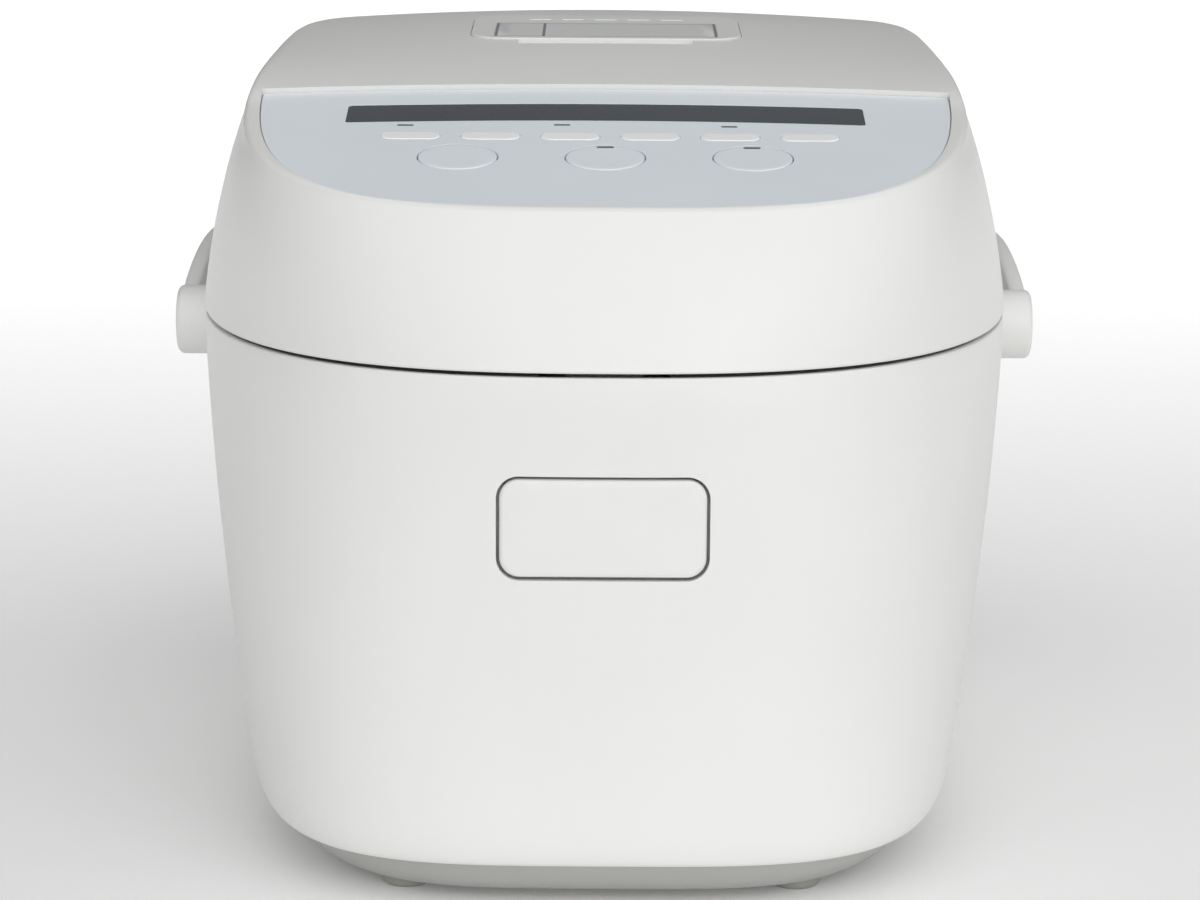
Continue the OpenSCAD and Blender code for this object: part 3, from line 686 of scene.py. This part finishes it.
def make_base_band():
    """Pan under the shell, painted grey as the shade it lies in, with counterbored screw holes and a recess
    for the rating plate.
    """
    rows = [(3.5, 24), (3.5, 18.4), (3.7, 17.4), (4.3, 15.8), (5.5, 13.9), (7, 12.2), (9, 10.4), (11, 8.9),
            (13, 7.6), (14.9, 6.7), (15.4, 6.4), (15.4, 9), (12, 12), (6, 18), (6, 26)]
    band = build("base_band", *skin([body_ring(z, inset) for z, inset in rows]))
    spots = [(x, y) for x in (-SCREW_X, SCREW_X) for y in (-SCREW_Y, SCREW_Y)]
    heads = [prism(shifted(circle(3.6, 32), x, y), -1, 5.2) for x, y in spots]
    shanks = [prism(shifted(circle(1.6, 24), x, y), -1, 9) for x, y in spots]
    cut(band, [(joined(heads + shanks), plan), (box(-35, 35, -20, 20, 3, 4.1), plan)])
    # The grey_plastic finish is painted shade: the pan is taken for the shell's white plastic, darkened
    # because it faces down
    finish(band, "body", "grey_plastic", "base_pan", sharp=28)


def make_feet():
    profile = [(0, 0), (6.2, 0), (7.2, 0.25), (8, 0.9), (8.4, 1.7), (8.5, 2.6), (8.5, 3.5),
               (4, 3.5), (4, 6), (0, 6)]
    spots = [(x, y) for x in (-FOOT_X, FOOT_X) for y in (-FOOT_Y, FOOT_Y)]
    feet = build("round_feet", *joined([lathe(profile, 64, spot) for spot in spots]))
    finish(feet, "body", "rubber", "feet")


# ---- Lid ----

def lid_skin():
    """Rings from the middle of the roof's underside, down the inner wall, and up over the outside."""
    under = [lid_top_ring(s, ROOF) for s in (0.02, 0.2, 0.4, 0.6, 0.8, 0.9, 1)]
    inside = [lid_wall_ring(level, WALL) for level in (0.93, 0.5, 0)]
    levels = (0.012, 0.06, 0.15, 0.25, 0.36, 0.47, 0.58, 0.68, 0.78, 0.88, 0.95, 1.0)
    outside = [lid_wall_ring(0, 0.45)] + [lid_wall_ring(level, 0) for level in levels]
    edge = [lid_edge_ring(turn) for turn in (15, 30, 45, 60, 75, 90)]
    scales = [0.985, 0.965] + [0.94 - 0.0235 * i for i in range(40)] + [0.0005]
    return skin(under + inside + outside + edge + [lid_top_ring(s, 0) for s in scales])


def hinge_room():
    """Room round the hinge cover, tall enough behind for its skirt when the lid is open."""
    r = COVER_R + 0.6
    behind = HINGE_Y + 20
    top = HINGE_Z + COVER_R + 0.4
    outline = [(behind, 160), (behind, top), (HINGE_Y + 2.4, top)]
    outline += arc(HINGE_Y, HINGE_Z, r, 180, 270, 32)
    outline += [(HINGE_Y - r, 160)]
    return along_x(outline, COVER_HALF + 0.5)


def rear_heel():
    """Takes off the lid's lower rear edge, which would meet the body as the lid opens."""
    behind = HINGE_Y + 24
    outline = [(HINGE_Y, 165)] + arc(HINGE_Y, HINGE_Z, HEEL_R, 0, 90, 24)
    return along_x(outline + [(behind, HINGE_Z), (behind, 165)], 150)


def make_lid_shell():
    shell = build("lid_shell", *lid_skin())
    cut(shell, [
        (prism(panel_outline(0.4), FASCIA_LOW, 20), on_panel),
        (prism(panel_outline(-5), -20, 10), on_panel),
        (prism(pill(CAP_W + 0.5, CAP_D + 0.7, CAP_R + 0.3, 24), 220, 280), over_cap),
        (along_x(shifted(circle(DISH_R), CAP_Y - CAP_D / 2 - 2, PANEL_Z + 17.2), DISH_HALF), plan),
        (hinge_room(), plan),
        (rear_heel(), plan),
    ])
    finish(shell, "lid", "white_plastic", "lid_cover", sharp=28)


# ---- Key panel ----

def make_panel_plate():
    holes = [shifted(circle(KEY_R + 0.45), x, KEY_Y) for x in (-KEY_PITCH, 0.0, KEY_PITCH)]
    holes += [shifted(pill(PILL_W + 0.3, PILL_H + 0.3, PILL_R + 0.15), pill_x(k), PILL_Y) for k in range(6)]
    holes += [display_outline(0.2)]
    plate = bevelled_plate("panel_plate", [panel_outline(0)] + holes, FASCIA_LOW, FASCIA_TOP, 0.15, on_panel)
    finish(plate, "lid", "panel_film", "panel_fascia", weighted=True)


def make_display_glass():
    glass = bevelled_plate("display_glass", [display_outline(0)], FASCIA_LOW, FASCIA_TOP, 0.12, on_panel)
    finish(glass, "lid", "dark_window", "display_window", weighted=True)


def shoulder(outline):
    """Wider plate under a key's cap, which keeps the key behind the panel."""
    return topped(outline, [(0, KEY_FLOOR), (0, KEY_SHOULDER)], KEY_SHOULDER)


def make_round_key(node, x):
    top = topped(shifted(circle(KEY_R), x, KEY_Y), rounded_edge(0.45, -0.22, KEY_FLOOR), -0.3)
    under = shoulder(shifted(circle(KEY_R + 1.2), x, KEY_Y))
    stem = prism(shifted(circle(2.4, 32), x, KEY_Y), -7.4, -3.3)
    finish(build(f"{node}_cap", *joined([top, under, stem]), on_panel), f"{node}_body", "key_film", node)


def make_small_key(node, x):
    top = topped(shifted(pill(PILL_W, PILL_H, PILL_R), x, PILL_Y), rounded_edge(0.4, -0.2, -3.2), -0.2)
    under = shoulder(shifted(pill(PILL_W + 2, PILL_H + 2, PILL_R + 1), x, PILL_Y))
    stem = prism(shifted(circle(2, 32), x, PILL_Y), -7.5, -3.1)
    key = build(f"{node}_cap", *joined([top, under, stem]), on_panel)
    finish(key, f"{node}_body", "key_film", node, look=pill_film)


def make_film_lamp(name, x, y):
    edge = rounded_edge(0.08, FASCIA_TOP + 0.06, FASCIA_TOP - 0.4)
    lens = build(name, *topped(shifted(pill(5.4, 1.6, 0.7), x, y), edge, FASCIA_TOP + 0.08), on_panel)
    finish(lens, "lid", "dark_window", look=lamp_lens)


def make_key_lamp(node, x):
    edge = rounded_edge(0.08, -0.18, -0.8)
    lens = build(f"{node}_lamp", *topped(shifted(pill(5.6, 1.8, 0.8), x, KEY_Y + 10), edge, -0.17), on_panel)
    finish(lens, f"{node}_body", "dark_window", look=lamp_lens)


# ---- Steam cap and its label ----

def make_steam_cap():
    """Shallow hollow cap with five steam slots behind its label recess."""
    slots = [shifted(pill(8, 1.6, 0.75), k * 12, 18.8) for k in range(-2, 3)]
    cap = bevelled_plate("steam_cap_top", [pill(CAP_W, CAP_D, CAP_R, 20)] + slots, -5.2, 0, 0.4, on_cap)
    half = LABEL_HALF + 0.2
    recess = box(-half, half, LABEL_FRONT - 0.2, LABEL_BACK + 0.2, -0.5, 2)
    cut(cap, [(prism(pill(CAP_W - 5, CAP_D - 5, 10), -8, -2), on_cap), (recess, on_cap)])
    finish(cap, "steam_cap_body", "white_plastic", "steam_cap", weighted=True)


def make_steam_label():
    """Blank film with printed outlines of two fields."""
    half, front, back = LABEL_HALF, LABEL_FRONT, LABEL_BACK
    outline = [(-half, front), (half, front), (half, back), (-half, back)]
    label = build("steam_cap_label", *topped(outline, rounded_edge(0.1, -0.02, -0.5), -0.02), on_cap)
    finish(label, "steam_cap_body", "label_film", "steam_label")
    half, front, back = half - 0.1, front + 0.1, back - 0.1
    strips = [(-half, half, front, front + 0.7), (-half, half, back - 0.7, back),
              (-half, 0.9 - half, front, back), (half - 0.9, half, front, back), (-22.6, -21.6, front, back)]
    lines = build("steam_label_lines", *joined([box(*strip, -0.2, 0.0) for strip in strips]), on_cap)
    finish(lines, "steam_cap_body", "label_film", look=ink)


# ---- Open button ----

def make_open_button():
    """Bowed face plate, the flange behind it, the lever's pusher and two spring cups."""
    face = topped(pill(BUTTON_W, BUTTON_H, 6, 16), rounded_edge(BUTTON_EDGE, 0, -6.1, 5), 0)
    flange = prism(pill(70, 37, 3), FLANGE_BACK, -6)
    pusher = box(-6, 6, -6, 2, -18, -7)
    cups = [lathe([(4.4, -16), (5.4, -16), (5.4, -7), (4.4, -7)], 48, (x, 0)) for x in (-24, 24)]
    button = build("open_button_cap", *joined([face, flange, pusher] + cups), on_button)
    finish(button, "button_body", "white_plastic", "open_button")


# ---- Handle ----

def handle_rise(y):
    """The arm's gentle arch over its way back."""
    return HANDLE_RISE * math.sin(math.pi * max(0.0, y / HANDLE_REACH) ** 0.8)


def handle_section(t, corner=2.4, steps=5):
    """Rounded section across the arm, thin beside the body and thicker behind the lid."""
    e = 2 / HANDLE_POWER
    x = HANDLE_HALF * spow(math.cos(t), e)
    y = HANDLE_REACH * spow(math.sin(t), e)
    nx = spow(math.cos(t), 2 - e) / HANDLE_HALF
    ny = spow(math.sin(t), 2 - e) / HANDLE_REACH
    m = math.hypot(nx, ny)
    deg = math.degrees(t)
    half_t = 3 + 3 * smooth(35, 75, min(deg, 180 - deg))
    outline = pill(2 * half_t, 2 * ARM_HALF_H, min(corner, half_t - 0.2), steps)
    return [(x + q * nx / m, y + q * ny / m, PIVOT_Z + handle_rise(y) + w) for q, w in outline]


def handle_angle(k, count):
    """Angle of section k, with the sections closer together near the pivots."""
    half = count / 2
    a = 90 * (k / half) ** 1.5 if k < half else 180 - 90 * ((count - k) / half) ** 1.5
    return math.radians(min(179.999, max(0.001, a)))


def disc(place):
    """Round end of an arm, with a rounded outer rim and a shallow socket for its cap."""
    rim = [(DISC_R - inset, w) for inset, w in rounded_edge(DISC_EDGE, DISC_OUT, DISC_IN, 6)]
    floor_w = DISC_OUT - SOCKET_DEPTH
    socket = [(SOCKET_R, DISC_OUT), (SOCKET_R, floor_w), (4.1, floor_w), (4.1, DISC_IN)]
    points, faces = lathe(rim + socket, 96)
    return [place(*p) for p in points], faces


def make_handle(sections=160):
    arm = skin([handle_section(handle_angle(k, sections)) for k in range(sections + 1)])
    handle = build("carry_handle", *joined([arm, disc(on_right), disc(on_left)]))
    finish(handle, "handle_body", "white_plastic", "handle", sharp=36)


def make_handle_cap(name, place, *nodes):
    edge = rounded_edge(0.4, DISC_OUT - 0.05, DISC_OUT - SOCKET_DEPTH)
    cap = build(name, *topped(circle(SOCKET_R - 0.1), edge, DISC_OUT - 0.2), place)
    finish(cap, "handle_body", "white_plastic", *nodes)


# ---- Pot ----

def make_pot():
    """Turned bowl with a rolled rim; its profile runs up the outside and down the inside."""
    inner_r = POT_R - POT_T
    bend_r, bend_z = POT_R - POT_BEND, POT_FLOOR + POT_BEND
    outside = [(0, POT_FLOOR), (60, POT_FLOOR)] + arc(bend_r, bend_z, POT_BEND, 0, 90, 14) + [(POT_R, 120)]
    rim = [(POT_R, POT_RIM_Z - 1.6), (POT_R + 0.6, POT_RIM_Z - 1), (POT_R + 4, POT_RIM_Z - 1)]
    rim += arc(POT_R + 7.2, POT_RIM_Z, 1, 0, 180, 8)
    rim += [(POT_R, POT_RIM_Z + 1), (inner_r + 0.8, POT_RIM_Z + 0.7), (inner_r, POT_RIM_Z - 0.1)]
    inside = [(inner_r, 120)] + arc(bend_r, bend_z, POT_BEND - POT_T, 90, 0, 14)
    inside += [(60, POT_FLOOR + POT_T), (0, POT_FLOOR + POT_T)]
    pot = build("cooking_pot", *lathe(outside + rim + inside, 192, (0, POT_Y)))
    finish(pot, "pot_body", "pot_coating", "inner_pot")


# ---- CAD pieces that stay ----

def finish_cad_pieces():
    """Gives each CAD piece that shows its slot's finish and slightly softened edges."""
    slots_of_nodes = {part["node"]: part["material_slot"] for part in frame["record"]["subparts"]}
    for name, node in frame["nodes"].items():
        if node.hide_render:
            continue
        node.data.materials.clear()
        node.data.materials.append(finishes[slots_of_nodes[name]])
        for polygon in node.data.polygons:
            polygon.use_smooth = True
        weld = node.modifiers.new("weld", "WELD")
        weld.merge_threshold = MERGE
        soft = node.modifiers.new("soft_edges", "BEVEL")
        soft.width = 0.00025
        soft.segments = 2
        soft.limit_method = "ANGLE"
        soft.angle_limit = math.radians(32)
        soft.harden_normals = True
        level = node.modifiers.new("face_normals", "WEIGHTED_NORMAL")
        level.mode = "FACE_AREA"
        level.weight = 100
        level.keep_sharp = True


# ---- The scene ----

make_camera()
make_floor()
make_world((0.22, -1, 0.55), 0.1, 1.44)
make_front_light()

make_body_shell()
make_base_band()
make_feet()
make_lid_shell()
make_panel_plate()
make_display_glass()
make_round_key("key_left", -KEY_PITCH)
make_round_key("key_middle", 0.0)
make_round_key("key_right", KEY_PITCH)
for k in range(6):
    make_small_key(f"small_key_{k + 1}", pill_x(k))
make_film_lamp("film_lamp_1", pill_x(0) - 2.2, -37.6)
make_film_lamp("film_lamp_2", pill_x(2) - 2.8, -36.4)
make_film_lamp("film_lamp_3", pill_x(4), -37.4)
make_key_lamp("key_middle", 0.0)
make_key_lamp("key_right", KEY_PITCH)
make_steam_cap()
make_steam_label()
make_open_button()
make_handle()
make_handle_cap("handle_cap_right", on_right, "handle_caps")
make_handle_cap("handle_cap_left", on_left)
make_pot()
finish_cad_pieces()
